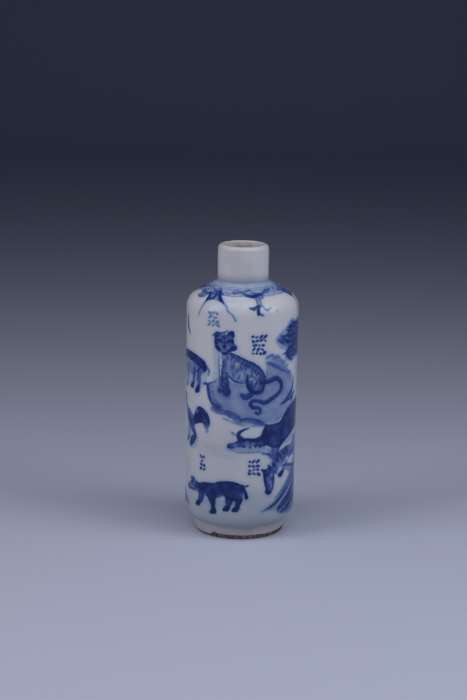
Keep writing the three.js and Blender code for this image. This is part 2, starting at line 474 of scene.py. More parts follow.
def rooster(b):
    # facing left, with a full drooping tail
    b.wash(0.72, (-4.6, 2.2), (-3.8, 4.3), (-2.4, 4.2), (-0.8, 3.2), (0.8, 2.6), (0.8, 0.9),
           (-0.6, -0.3), (-2.6, 0.1), (-4.2, 0.8))
    b.wash(0.99, (-0.4, 2.2), (0.6, 4.9), (2.0, 6.0), (4, 5.7), (5.6, 4.3), (6.2, 2.5), (5.9, 0.9),
           (5.2, 0.4), (4.2, 1.4), (3, 1.5), (1.6, 1.1), (0.2, 0.8))
    b.shade(-0.32, 0.9, (5.6, 0.8), (0.6, 4.6))
    b.shade(-0.16, 0.8, (1.6, 4.6), (4.6, 4.8), (4.6, 2.4))
    b.sweep(0.5, (1.2, 1.2, 0.6), (4.2, 1.2), (5.2, 0.2), (5.0, -0.8))
    b.line(1, (0.4, 0.9, 0.5), (0.2, 2.4), (2.4, 4.3), (4.4, 3.9), (5.3, 2.4))
    b.sweep(0.7, (2.4, 1.7, 1.1), (-4.0, 3), (-5.4, 4.8), (-6.2, 6.6))
    b.wash(0.85, (-7.3, 6.6), (-6.6, 7.8), (-5.6, 7.2), (-6.0, 6.1), (-6.8, 5.9))
    for x, y in [(-6.9, 8.0), (-6.3, 8.3), (-5.7, 8.0)]:
        b.line(0.95, (0.6, 0.35), (x + 0.1, y - 0.6), (x, y))
    b.line(0.95, (0.6, 0.15), (-7.2, 7.0), (-8.2, 6.7))
    b.line(0.9, (0.5, 0.3), (-6.9, 6.1), (-7.1, 5.2))
    b.line(0.9, (0.5, 0.7, 0.3), (-3.4, 3.6), (-2.6, 1.9), (-0.9, 1.6))
    b.line(0.85, (0.4, 0.6, 0.3), (-3.9, 2.1), (-2.4, 0.8), (-0.7, 0.7))
    b.sweep(0.82, (2.6, 2.0, 1.3, 1.4), (-1.4, 0.6), (-0.6, -0.8), (0.3, -1.8), (0.4, -3.0))
    b.sweep(0.9, (1.4, 2.3, 1.6), (0.5, -2.8), (-0.8, -3.9), (-1.7, -5.3))
    b.sweep(0.5, (1.5, 1.0, 1.0), (-2.9, 0.4), (-2.9, -2), (-3.4, -4.0))
    b.line(0.8, (1.0, 0.7), (-3.3, -3.8), (-4.3, -4.7))
    b.ground(0.2, (-4, 0), (-1, -1), (1.6, -1.6), (1.2, -5.6), (-2, -6.4), (-5, -5.6), (-5.6, -2))


def boar(b):
    # a heavy dark body walking left
    b.wash(0.99, (-9.8, 0.5), (-9.0, 1.8), (-7.8, 2.9), (-6.2, 3.0), (-4.6, 2.6), (-2.6, 3.2),
           (0.4, 3.5), (2.4, 4.2), (5, 4.5), (7.4, 4.1), (8.8, 3.1), (9.1, 1.3), (8.5, -0.5),
           (7.4, -1.1), (5.4, -0.9), (3.7, -0.1), (2.2, -0.5), (0.8, -1), (-1.2, -0.9), (-2.8, -0.6),
           (-4.2, -0.9), (-5.4, -0.2), (-7.4, -0.1), (-9.0, -0.3), (-9.9, -0.1))
    b.shade(-0.34, 1.3, (-7.6, 0.8), (-9.4, 0.4))
    b.shade(-0.3, 0.9, (-5.4, 0.1), (2.8, -0.1), (-2.9, -0.4), (-6.6, 2.6))
    b.shade(-0.12, 1.0, (-1, 1.4), (8.2, 0.6), (1.0, 3.0))
    b.shade(-0.26, 0.5, (-4.0, -0.6), (-2.2, -0.7), (1.8, -0.5), (3.2, -0.2))
    b.mist(0.16, (1.6, 2.4, 2.2, 1.4), (-4.6, -1.6), (-1, -2.2), (3, -2.0), (7, -2.2))
    b.line(0.85, (0.7, 0.8, 0.3), (-8.6, 3.1), (-7.2, 3.3), (-6.4, 2.9))
    b.line(0.95, (0.8, 1.0, 0.5), (-9.7, 0.9), (-10.0, 0.3), (-9.6, -0.2))
    b.line(0.95, (0.3, 0.5, 0.3), (-9.2, -0.2), (-8.0, 0.1), (-6.9, -0.2))
    b.dots(1, 0.6, (-7.6, 1.9))
    b.sweep(0.84, (2.4, 1.9, 1.2), (-3.6, -0.4), (-3.8, -1.8), (-4.6, -3.0))
    b.sweep(0.95, (2.6, 1.6, 1.3), (-0.2, -0.6), (0.4, -2.4), (0.5, -3.8))
    b.sweep(0.93, (2.6, 1.6, 1.2), (5.2, -0.6), (5.0, -2), (4.7, -3))
    b.sweep(0.93, (2.4, 1.5, 1.2), (7.8, -0.6), (7.5, -2), (7.3, -3))
    for x, y in [(-4.9, -3.3), (0.4, -4.6), (4.4, -3.4), (7.0, -3.4)]:
        b.line(1, (1.2, 1.7, 1.0), (x + 0.5, y + 0.4), (x, y), (x - 0.7, y - 0.35))
    b.line(1, (1.2, 1.0), (0.6, -4.2), (1.1, -4.8))
    b.line(0.99, (0.9, 0.9, 1.2), (8.6, 3.2), (9.5, 1.6), (9.9, -0.1))
    b.line(0.92, (0.6, 0.5), (8.6, 3.4), (9.8, 3.0))
    b.shade(-0.2, 0.5, (8.6, 0.6))
    b.dots(1, 0.7, (10.1, 3.3))


def buffalo(b):
    # a black bulk with its muzzle low and the horns in a crescent
    b.wash(1, (-1, 3.2), (0.6, 3.1), (3.6, 3.4), (5, 4.9), (6.8, 6.4), (9.2, 7.4), (12.2, 8.3),
           (14.6, 8.2), (15.6, 6.0), (15.6, 2.8), (14.0, 0.8), (11.6, -0.2), (9.4, -0.9), (7.4, -1.7),
           (5.4, -2.8), (4, -3.9), (2, -3.9), (-0.4, -2.9), (-1.8, -1.5), (-2.2, 0.6), (-1.6, 2.2))
    b.wash(0.9, (-11.7, -2.6), (-11.2, -1.9), (-9.6, -1.4), (-8, -0.5), (-6, -0.5), (-4, -0.9),
           (-2.4, -0.4), (-0.6, -0.6), (-0.8, -2.8), (-3, -2.8), (-5, -2.6), (-7, -3.0), (-8.8, -2.9),
           (-10.4, -3.4), (-11.5, -3.3))
    b.shade(-0.3, 0.8, (-4.6, -2.2), (-6.2, -2.4), (-9.4, -2.4))
    b.shade(-0.09, 1.5, (1.2, -1.6), (6.6, -0.4))
    b.shade(-0.08, 1.3, (2.0, 2.0), (9.6, 4.6), (6.4, 3.0))
    b.line(0.96, (1.3, 1.0, 0.4), (-7.4, -0.8), (-8.7, 0.6), (-7.5, 1.8), (-5.8, 2.5))
    b.line(0.95, (1.2, 1.3, 1.1, 0.5), (-5.4, -1.0), (-8.0, -0.6), (-8.6, 0.6), (-7.4, 1.9))
    b.line(1, (0.7, 1.2, 1.3, 0.6), (-5.8, -0.7), (-3.6, -0.9), (-1.6, 0.2), (-1.0, 2.4))
    b.line(0.6, (0.3, 0.8, 0.3), (-9.2, 0.1), (-10, 0.9), (-10.7, 1.3))
    b.spare((0.2, 0.5, 0.2), (-6.5, -1.5), (-6.1, -1.35), (-5.7, -1.5))
    b.dots(1, 0.35, (-6.1, -1.45))
    b.dots(0.97, 0.7, (-7.0, -2.6), (-5.4, -2.9), (-3.9, -2.7), (-2.5, -2.9))
    b.line(0.5, (0.3, 0.6, 0.5, 0.3), (-11.4, -3.6), (-8.6, -4.3), (-4.6, -4.4), (-1.5, -4.6),
           (0.4, -5.4))
    b.mist(0.34, (0.8, 1.6, 1.6, 1.0), (-10, -3.4), (-6, -3.5), (-2, -3.6), (1, -4.4))
    b.sweep(0.6, (2.6, 2.4, 1.9, 1.4), (2.0, -3.2), (2.2, -5.2), (2.4, -7.0), (2.0, -9.2))
    b.line(0.8, (0.5, 0.6, 0.4), (3.9, -3.4), (3.3, -5.2), (2.6, -7.2))
    b.line(0.75, (0.5, 0.7, 0.4), (-1.8, -5.0), (0.2, -5.3), (1.4, -6.6))
    b.sweep(0.4, (1.0, 1.6, 1.4), (14.6, -0.4), (13.4, -1.6), (12.0, -2.4))
    b.line(0.95, (0.8, 0.5, 1.1), (15.4, 6.6), (17.0, 4.6), (17.0, 2.0))
    b.mist(0.3, (1.5, 2.2, 1.5), (5.4, -2.6), (8.4, -2.2), (12, -2.2))


def horse(b):
    # head lowered, neck coming down from the right, one foreleg raised
    b.wash(0.7, (9, 5.2), (6.5, 5.8), (4, 6.0), (1.8, 5.5), (0.2, 4.4), (-0.4, 2.6), (-1.6, 0.8),
           (-1.2, -0.8), (0.3, -0.6), (1.4, 0.9), (3, 1.5), (4.4, 3.2), (6.5, 3.6), (9, 4.2))
    b.wash(0.76, (-4.8, 0.2), (-3.6, 0.7), (-2.3, 1.1), (-1.2, 0.4), (-0.9, -2), (-1.1, -4.2),
           (-1.5, -6), (-2.2, -6.7), (-3.2, -6.7), (-3.6, -5.4), (-3.8, -3), (-4.2, -1))
    b.shade(-0.3, 0.55, (-1.9, -1.4), (-2.2, -3.2), (-1.7, -4.4), (-3.2, -2.2))
    b.shade(0.16, 0.5, (-2.7, -0.4), (-1.6, -2.4), (-2.8, -4.2))
    b.shade(-0.22, 1.0, (1.4, 0.6), (7.4, 4.4), (0.4, 1.6))
    b.shade(0.14, 1.2, (3.6, 4.6), (-3.4, -1.6))
    b.wash(0.5, (6, 5.6), (8.4, 7.6), (11, 8.6), (14, 8.2), (16.4, 6.4), (16.8, 3.8), (15.4, 1.8),
           (13, 1.4), (10, 1.8), (7.6, 2.6))
    b.sweep(0.6, (2.8, 1.8, 1.0, 0.9), (15.6, 3.8), (16.6, 0.8), (15.8, -2.0), (16.4, -4.6))
    b.line(0.95, (0.9, 1.3), (16.4, -4.8), (15.6, -5.4))
    b.line(0.8, (0.9, 0.9, 0.3), (16.4, 6.2), (18.0, 4.4), (18.2, 1.2))
    b.sweep(0.66, (0.8, 1.5, 1.5, 1.0), (12.4, 8.4), (9.4, 7.0), (6.6, 5.4), (3.4, 5.0))
    b.sweep(0.72, (0.6, 1.2, 1.4, 0.9), (12.6, 6.0), (9.6, 4.8), (6.4, 3.6), (3.6, 3.2))
    b.line(0.8, (0.4, 0.8, 0.5), (11.4, 4.2), (8.2, 3.6), (5.0, 2.2))
    b.mist(0.42, (3.0, 3.4, 2.2), (-2.0, 4.8), (-0.6, 3.6), (-1.4, 1.4))
    b.line(0.97, (1.2, 0.5), (-4.0, 0.0), (-5.0, 0.6))
    b.line(0.97, (1.2, 0.6), (-2.4, 0.6), (-2.9, 1.6))
    b.line(0.96, (0.6, 0.9, 0.6), (-4.3, 0.0), (-3.9, -2.6), (-3.4, -5.0))
    b.line(0.93, (1.1, 1.3, 0.6), (-3.4, -5.7), (-2.8, -6.2), (-2.0, -6.2))
    b.line(0.75, (0.4, 0.6, 0.4), (-1.0, -1.0), (-1.1, -3.4), (-1.4, -5.4))
    b.dots(1, 0.6, (-3.3, -1.0), (-2.9, -5.3), (-2.2, -6.0))
    for x, y in [(-1.4, 1.5), (-0.2, 2.8), (0.9, 3.6), (2.3, 4.4), (3.8, 4.9)]:
        b.line(0.9, (0.8, 0.3), (x, y + 0.3), (x + 1.1, y - 1.0))
    b.sweep(0.56, (1.2, 1.3, 1.0), (4.2, 1.4), (3.0, 0.2), (2.2, -0.9))
    b.line(0.72, (0.4, 0.8, 1.0, 0.6), (1.2, 0.8), (4.4, 0.5), (8, -0.4), (11, -1.2))
    b.line(1, (1.2, 1.7, 1.0), (2.4, -1.0), (1.6, -1.6), (0.9, -1.9))
    b.line(0.6, (0.8, 0.5), (-0.8, -0.6), (0.8, -1.6))
    b.sweep(0.48, (1.4, 2.4, 2.8, 2.2), (3.6, 0.0), (6.6, -1.4), (7.6, -4), (6.8, -6.6))
    b.mist(0.4, (1.8, 3.0, 2.6), (8.6, -1), (10.0, -4), (10.4, -7))


def rabbit(b):
    # sitting, ears laid back
    b.wash(0.5, (-4.6, 1.6), (-3, 3.4), (-0.4, 4), (2.6, 3), (4.2, 0.8), (4.2, -1.8), (2.6, -2.9),
           (-1.6, -2.9), (-4, -2.4), (-4.4, -0.4))
    b.wash(0.58, (-6.8, 2.6), (-5.8, 4.2), (-4, 4.4), (-2.8, 3), (-3.4, 1.6), (-5.4, 1.4))
    for dy in (0, 0.9):
        b.sweep(0.78, (0.7, 1.1, 0.3), (-4.2, 4.2 + 0.4 * dy), (-2.4, 5.6 + dy), (-0.2, 5.6 + 1.5 * dy))
    b.line(0.85, (0.3, 0.5, 0.3), (-3.0, 3.4), (-0.4, 4.1), (2.7, 3.1), (4.3, 0.9), (4.2, -1.9))
    b.line(0.85, (0.3, 0.5, 0.3), (0.4, -0.4), (2.0, 0.6), (3.2, -0.8), (2.4, -2.4), (0.2, -2.9),
           (-1.4, -2.9))
    b.line(0.85, (0.5, 0.5, 0.6), (-4.2, 0.8), (-4.3, -1.4), (-5.2, -2.8))
    b.line(0.8, (0.6, 1.1, 0.5), (4.3, -1.6), (5.1, -1.3), (4.9, -2.2))
    b.spare(0.5, (-5.4, 3.2), (-5.3, 3.2))
    b.dots(1, 0.35, (-5.35, 3.2))
    b.line(0.9, (0.4, 0.3), (-6.8, 2.6), (-6.5, 2.1))
    for x, y in [(-1, 2.4), (0.6, 2.0), (2, 1.6), (-2, 0.6), (-0.6, 0.4)]:
        b.line(0.7, (0.35, 0.1), (x, y), (x + 0.5, y - 0.7))


def snake(b):
    # two long bends, the head raised
    trail = [(-8, 3.2), (-6.2, 2.6), (-5.4, 0.4), (-3.4, -1.4), (-1.0, -0.4), (0.2, 1.8), (2.2, 2.6),
             (4.0, 1.0), (4.8, -1.4), (6.8, -2.4), (8.8, -1.6), (10, -0.4)]
    b.sweep(0.6, (1.1, 1.6, 1.9, 1.7, 1.2, 0.3), *trail)
    b.line(0.88, (0.3, 0.35, 0.3), *[(x, y + 0.6) for x, y in trail[:-1]])
    for x, y in curveThrough(trail, pieces=4)[4:-4]:
        b.line(0.9, (0.45, 0.2), (x - 0.25, y + 0.3), (x + 0.3, y - 0.35))
    b.wash(0.85, (-9.6, 3.0), (-9.0, 4.1), (-7.6, 4.2), (-7.2, 3.0), (-8.4, 2.4))
    b.line(0.9, (0.3, 0.12), (-9.5, 3.2), (-10.9, 2.8))
    b.dots(0.2, 0.3, (-8.6, 3.5))


def hound(b):
    # standing, tail curled over the back
    b.wash(0.7, (-5.4, 2.8), (-2, 2.5), (2, 2.7), (4.6, 3.0), (5.6, 1.4), (4.6, 0.2), (1.4, 0.6),
           (-1.8, 0), (-4.2, -0.2), (-5.8, 1))
    b.wash(0.85, (-8.8, 3.4), (-7.4, 4.8), (-5.8, 5.1), (-4.6, 3.6), (-5.6, 2.4), (-7.4, 2.7))
    b.line(0.95, (0.9, 0.3), (-5.8, 4.8), (-5.2, 3.2))
    b.line(0.95, (0.9, 0.4, 0.2), (4.8, 2.6), (6.6, 4.2), (5.6, 5.4), (4.6, 4.8))
    for x, lean in [(-4.8, -0.4), (-3.4, 0.4), (3.4, -0.3), (4.8, 0.5)]:
        b.sweep(0.72, (1.5, 0.8, 0.6), (x, 0.8), (x + 0.3 * lean, -1.6), (x + lean, -3.6))
        b.line(1, (0.8, 0.9), (x + lean, -3.7), (x + lean - 0.6, -4.0))
    b.shade(-0.3, 1.0, (0, 1.2), (-6.4, 3.6))
    for x in (-3.6, -1.6, 0.4, 2.4, 4.2):
        b.line(0.9, (0.5, 0.12), (x, 2.6), (x + 0.6, 1.2))


def tree(b):
    # a dense crown that hangs to the left in feathery sprays, and a bent trunk under its right side
    b.ground(0.4, (-6.4, 1.4), (-4, 3.6), (-2, 3.6), (-1.6, 5.4), (0.6, 6.4), (3, 5.6), (5, 6.4),
             (7.4, 4.8), (8.6, 5.0), (9.6, 2.2), (8.6, 0.4), (9.4, -1.8), (7.0, -3.2), (6.4, -4.8),
             (4, -4.6), (1, -5.8), (-3, -4.6), (-2.6, -2.4), (-5, -1.2))
    b.line(0.85, (1.6, 1.2, 0.9, 0.6), (9, -15), (8.2, -10), (9.6, -5), (7.8, -1.6))
    b.wash(0.64, (-5.6, 1.2), (-4, 2.2), (-2.2, 2.4), (-1.2, 4.3), (0.5, 5.3), (3, 4.8), (5.2, 5.4),
           (6.8, 3.8), (8.4, 2.2), (7.4, 0.6), (8.2, -1.4), (6.0, -2.6), (5.4, -4.2), (3, -3.9),
           (1, -4.8), (-1, -4.9), (-2.2, -3.6), (-1.6, -2), (-3.6, -0.6), (-5.0, 0.4))
    b.shade(-0.3, 0.7, (-2.8, 1.4), (-2.4, -0.8), (-0.4, -3.4), (-0.2, 2.6), (2.6, -2.4), (2.4, 2.0),
            (6.2, 1.8))
    b.shade(0.16, 1.1, (1.4, 0.2), (0.8, -2.2), (4.6, 2.4), (4.6, -1.4), (0.6, 3.8))
    chance = np.random.default_rng(5)
    for row in range(7):
        for step in range(4):
            x = 0.2 + 2.0 * step - 0.5 * (row % 2) + chance.uniform(-0.5, 0.5)
            y = 4.0 - 1.35 * row + chance.uniform(-0.4, 0.4)
            reach = chance.uniform(1.4, 3.0) * (1.5 if step == 0 else 1)
            rise = chance.uniform(-0.3, 0.35)
            b.line(chance.uniform(0.7, 0.95), (0.5, chance.uniform(0.7, 1.3), 0.3), (x + 0.5, y),
                   (x - 0.4 * reach, y + 0.2 * rise), (x - reach, y + rise * reach))
    for way in np.arange(-2.2, 2.3, 0.42):
        x, y = 4.6 + 3.4 * math.cos(way), 0.2 + 4.2 * math.sin(way)
        b.line(0.74, (0.9, 0.8, 0.2), (x, y),
               (x + 0.8 * math.cos(way + 0.4), y + 0.9 * math.sin(way + 0.4)),
               (x + 1.6 * math.cos(way + 0.2), y + 1.7 * math.sin(way + 0.2)))
    for x, y in [(-1.6, 4.2), (0.2, 5.3), (-2.4, -3.4), (-0.8, -4.8), (-5.2, 0.6), (-4.4, 2.0)]:
        b.line(0.7, (0.9, 0.25), (x + 1.4, y - 0.4), (x - 0.6, y + 0.3))


def ledge(b):
    # the pale bank under the tiger, with its rocks, outline and twigs
    b.ground(0.48, (-9.8, -2.4), (-8, -1.4), (-6.6, 0), (-5, 0.5), (-2, -1), (0, -1.2), (3, -1),
             (6.3, 0), (6.6, 2.5), (7.0, 4.9), (9, 4.2), (11.5, 2.6), (14, 1.2), (16.4, 0.6),
             (17.6, -2), (18.2, -5.5), (18.2, -9), (15.5, -9.4), (13, -11), (10.5, -12.6), (7, -12.4),
             (3, -11.8), (-0.5, -11.2), (-3.5, -10.8), (-6, -9.7), (-8, -8.7), (-9, -6.5), (-9.7, -4.5))
    b.mist(0.62, (1.6, 2.4, 1.8), (-8.4, -4.4), (-7.6, -7), (-5.8, -8.4))
    b.mist(0.5, (1.4, 2.2, 1.4), (-6.6, -3.6), (-5, -5), (-2, -5.4))
    b.line(0.82, (0.7, 1.1, 0.8, 0.4), (-11.0, -2.3), (-9.9, -2.4), (-9.4, -5), (-8.7, -6.8),
           (-7.9, -7.8))
    b.line(0.7, (0.9, 0.6, 0.3), (-10, -2.4), (-8.9, -1.8), (-7.2, -1.0))
    b.line(0.66, (0.4, 0.7, 0.4), (-8.6, -7.0), (-7.2, -7.6), (-5.4, -8.0))
    b.sweep(0.52, (1.6, 2.2, 1.6), (-8.0, -8.8), (-6.6, -9.0), (-4.6, -9.4))
    b.sweep(0.6, (1.0, 2.0, 2.2, 1.2), (-3.9, -9.1), (-2.6, -9.9), (-1.2, -10.9), (-0.2, -11.9))
    b.sweep(0.7, (1.2, 1.8, 1.6, 0.9), (0.2, -11.4), (2.4, -11.4), (4.6, -11.9), (6.6, -12.8))
    b.sweep(0.48, (0.6, 1.0, 1.2, 0.9), (-4.8, -11.1), (-0.8, -12.3), (3.4, -12.7), (6.8, -13))
    b.shade(-0.2, 0.9, (-2.6, -11.4), (2.2, -12.6))
    b.sweep(0.54, (0.5, 1.3, 1.6, 0.8), (6.6, 4.3), (9, 3.5), (12, 2.2), (15.4, 0.5))
    b.sweep(0.44, (0.5, 1.3, 1.4, 0.6), (7.8, 5.3), (9.6, 4.6), (11.6, 3.4), (14.6, 1.6))
    b.mist(0.36, (1.0, 1.8, 1.4), (7.0, 6.0), (10, 5.4), (12.6, 3.6))
    for x, y, lean in [
        (7.2, 5.4, 0.5), (8.3, 6.0, -0.3), (9.4, 5.3, 0.4), (10.6, 5.2, -0.4), (11.8, 4.0, 0.3),
        (13.0, 3.6, -0.3), (14.2, 2.4, 0.3), (9.9, 3.4, -0.2), (12.2, 2.4, 0.2),
    ]:
        b.sweep(0.5, (0.5, 1.0, 0.4), (x - 0.6, y - 0.4 * lean), (x, y + 0.2), (x + 0.6, y + lean))
    b.line(0.84, (0.5, 1.0, 0.8), (12, -7.8), (14, -7.1), (17.6, -4.2))
    b.line(0.78, (0.6, 1.1, 0.8), (13.8, -7.2), (17, -6.8), (19, -5.5))
    b.line(0.66, (0.6, 0.9, 0.5), (16.4, -6.5), (17.9, -3.2), (18.3, -1.4))


def grasses(b):
    # long bent blades and rock strokes at the lower right
    b.ground(0.3, (-7, -3.6), (-4, -1.8), (-1, 0.6), (3, 4.6), (5.4, 8.6), (9.6, 9.4), (12, 5),
             (12, -6), (1, -6.4), (-3, -5))
    b.ground(0.54, (-2.4, -5.4), (-1.4, -3.6), (2.4, -0.8), (5.4, 2.6), (8, 6.4), (10.6, 5.4), (12, -6),
             (2, -6.4))
    b.line(0.66, (0.4, 1.0, 1.0, 0.5), (-7.7, -4.4), (-4.5, -3.2), (-1, -1.1), (3.6, 2.2))
    b.sweep(0.62, (0.4, 1.1, 1.2, 0.7), (-5.0, -3.5), (-2, -1.6), (1.5, 1.2), (5.0, 5.4))
    b.sweep(0.52, (0.5, 1.3, 1.4, 0.6), (-3.4, -1.2), (0, 1.4), (3.2, 4.4), (5.4, 8.2))
    b.sweep(0.76, (1.2, 2.2, 2.0, 1.2), (-2.0, -4.2), (0.4, -2.8), (4, -0.4), (7.0, 3.0))
    b.sweep(0.76, (0.8, 1.5, 1.4, 0.8), (-0.8, -5.5), (2.0, -4.6), (5.4, -2.2), (7.8, 1.4))
    b.sweep(0.66, (0.6, 1.1, 1.2, 0.6), (2.0, 0.0), (4.6, 2.8), (6.4, 6.0), (7.4, 9.4))
    b.line(0.7, (0.3, 0.8, 0.5), (5.2, 1.6), (7.0, 4.6), (7.8, 8.4))
    for i in range(6):
        x = 1.1 + 1.5 * i
        b.line(0.8, (0.5, 0.6, 0.2), (x, -4.8 + 0.3 * i), (x + 1.3, -2.8 + 0.4 * i),
               (x + 2.6, -0.4 + 0.5 * i))
    b.spare((0.2, 0.45, 0.2), (-1.4, -2.4), (2, -0.2), (5.2, 3.4))
    b.spare((0.2, 0.4, 0.2), (1.8, -3.8), (4.4, -2.0), (6.6, 1.0))


def knot(b):
    # a bow under the collar with two strings
    b.wash(0.6, (-1.8, 4.8), (0.0, 4.9), (1.8, 2.5), (3.4, 0.2), (1.6, 0.5), (-0.4, 0.7), (-2.4, 0.1),
           (-3.4, 1.3), (-3.2, 3.0), (-4.4, 3.9), (-2.8, 3.9))
    b.shade(0.16, 0.8, (-0.4, 3.2), (-2.0, 1.2))
    b.shade(-0.2, 0.6, (0.4, 1.2), (-1.6, 2.4))
    b.line(0.88, (0.5, 1.1, 1.2, 0.6), (-4.8, 3.4), (-3.4, 2.2), (-2.7, 1.0), (-2.4, -0.3))
    b.line(0.88, (0.5, 1.0, 1.2, 0.6), (-0.6, 4.3), (0.8, 2.5), (2.2, 1.0), (3.6, 0.0))
    b.line(0.8, (0.3, 0.8, 0.9, 0.4), (-2.0, 4.2), (-1.0, 2.8), (-0.8, 1.6), (-1.6, 0.5))
    b.line(0.54, (0.8, 0.6, 0.5), (-2.5, -0.2), (-3.1, -2.2), (-4.0, -4.4))
    b.line(0.6, (0.8, 0.6, 0.5, 0.65), (3.4, 0.0), (4.7, -1.0), (5.4, -2.3), (6.7, -3.3), (7.6, -4.8))


def tassel(b):
    # a bar under the collar, with a cord and three leaves hanging from it
    b.line(0.86, (0.6, 1.3, 1.4, 0.9), (-4.8, 4.2), (-3.0, 3.2), (-1.4, 2.8), (0, 3.0))
    b.line(0.66, (1.0, 1.2, 0.6), (0.2, 3.4), (2.0, 3.6), (3.4, 3.9))
    b.wash(0.6, (-1.0, 3.8), (1.0, 4.3), (2.8, 3.3), (2.6, 2.2), (1.2, 1.2), (0.8, -0.6), (-0.6, -0.6),
           (-0.8, 1.4))
    b.shade(-0.22, 0.5, (0.4, 0.4), (1.6, 2.8))
    b.line(0.94, (0.5, 1.2, 0.7), (-2.9, -1.3), (-1.7, -1.5), (-0.5, -0.7))
    b.line(0.9, (0.5, 0.9, 0.5), (-1.4, -1.6), (-0.6, -1.0), (0.5, -0.8))
    b.line(0.94, (0.8, 1.1, 0.9), (-0.1, -0.8), (-0.5, -1.9), (-0.5, -3.0))
    b.line(0.6, (0.5, 0.8, 0.5), (0.8, -0.8), (2.0, -2.0), (3.3, -1.5))
    b.line(0.8, (0.5, 0.8, 0.4), (-0.3, -2.6), (0.3, -3.2), (1.0, -3.3))


def inscription(b, rowsDown, wide, tone, seed):
    # rows of short heavy dabs in place of words, leaning one way and then the other
    rowGap = 1.12
    chance = np.random.default_rng(seed)
    for row in range(rowsDown):
        x = -wide / 2 + chance.uniform(0, 0.5)
        end = wide / 2 - chance.uniform(0, 0.4)
        while x < end:
            y = -row * rowGap + chance.uniform(-0.15, 0.15)
            long = chance.uniform(0.3, 1.0)
            tip = chance.uniform(-0.75, 0.75)
            thick = chance.uniform(0.6, 1.0)
            b.line(tone * chance.uniform(0.9, 1), (0.6 * thick, thick, 0.7 * thick), (x, y - 0.5 * tip),
                   (x + 0.5 * long, y), (x + long, y + 0.5 * tip))
            x += long + chance.uniform(0.45, 0.6)


def cloud(b):
    # a curling line over a flat one, in a faint mist
    b.line(0.5, (0.2, 0.45, 0.3, 0.2), (-3.4, -0.3), (-2.2, 0.8), (-0.9, 0.1), (0.3, 1.2), (1.6, 0.2),
           (2.6, 0.7), (3.6, -0.3))
    b.line(0.45, (0.2, 0.4, 0.2), (-4.4, -0.6), (0, -0.9), (4.6, -0.6))
    b.mist(0.22, (0.8, 1.2, 0.8), (-3.4, -0.4), (0, 0), (3.4, -0.4))


def scroll(b):
    # one curl of the collar, with a tail to the right
    b.wash(0.17, (-2.6, 0.2), (-1.2, 1.2), (0.6, 0.6), (0.8, -0.8), (-1.0, -0.9))
    b.line(0.36, (0.4, 0.8, 0.8, 0.5), (-3.2, -0.9), (-1.9, 0.8), (-0.2, 1.1), (0.7, 0.3), (0.1, -0.5),
           (-0.7, -0.1))
    b.line(0.34, (0.7, 0.7, 0.3), (0.6, 0.4), (1.8, -0.7), (3.3, -0.4), (3.5, 0.5))
    b.line(0.32, (0.3, 0.6, 0.3), (1.4, 1.5), (2.2, 0.9), (3.2, 1.4))
    b.line(0.3, (0.4, 0.6, 0.3), (-2.8, 1.3), (-1.8, 1.7), (-0.9, 1.4))


collar = {
    "low": 69.5,
    "high": 72.9,
    "scrolls": 14,
    "dip": 0.35,  # of the lower edge, once a scroll
    "tone": 0.3,
    "toneAbove": 0.28,  # up to the neck
    "lowerLine": (0.45, 0.44),  # width and tone
    "upperLine": (0.32, 0.36),
    # darker sweeps of the brush, spread evenly round, and which way each leans
    "sweepsFrom": 8,
    "sweepLeans": (1, 1, -1, 1, -1, -1, 1, -1, 1),
}


def paintCollar(c):
    # a blue band round the shoulder filled with scrolls, and a paler one above it up to the neck
    pitch = girth / c["scrolls"]
    low = c["low"] - c["dip"] * np.abs(np.sin(math.pi * wallS / pitch))
    everywhere = np.arange(wallS.size)
    (lowWidth, lowTone), (highWidth, highTone) = c["lowerLine"], c["upperLine"]
    band = Brush(0, 0)
    band.lay("pale", everywhere, np.minimum(wallH - c["high"], neckFoot - wallH), c["toneAbove"])
    band.lay("pale", everywhere, np.minimum(wallH - low, c["high"] + 0.3 - wallH), c["tone"])
    band.lay("line", everywhere, lowWidth / 2 - np.abs(wallH - low - 0.15), lowTone)
    band.lay("line", everywhere, highWidth / 2 - np.abs(wallH - c["high"] - 0.08 * np.sin(wallS)),
             highTone)
    for i in range(c["scrolls"]):
        scroll(Brush((i + 0.5) * pitch, c["low"] + 1.5, mirrored=bool(i % 2)))
    places = np.linspace(c["sweepsFrom"], c["sweepsFrom"] + girth, len(c["sweepLeans"]), endpoint=False)
    for s, lean in zip(places, c["sweepLeans"]):
        path = [(-3, -0.6 * lean), (-0.6, 0.2 * lean), (1.8, 0.6 * lean), (4, 1.2 * lean)]
        Brush(s + 2, 71.0).sweep(0.54, (0.4, 1.1, 1.0, 0.4), *path)
    left = Brush(-15.8, 69.4)
    left.sweep(0.6, (0.8, 2.2, 2.0, 1.0), (-3.4, 0.8), (-1.6, -0.4), (0.6, -0.7), (2.4, 0.2))
    left.line(0.75, (0.4, 0.8, 0.4), (-3, -1.4), (-0.6, -2.0), (1.6, -1.7))


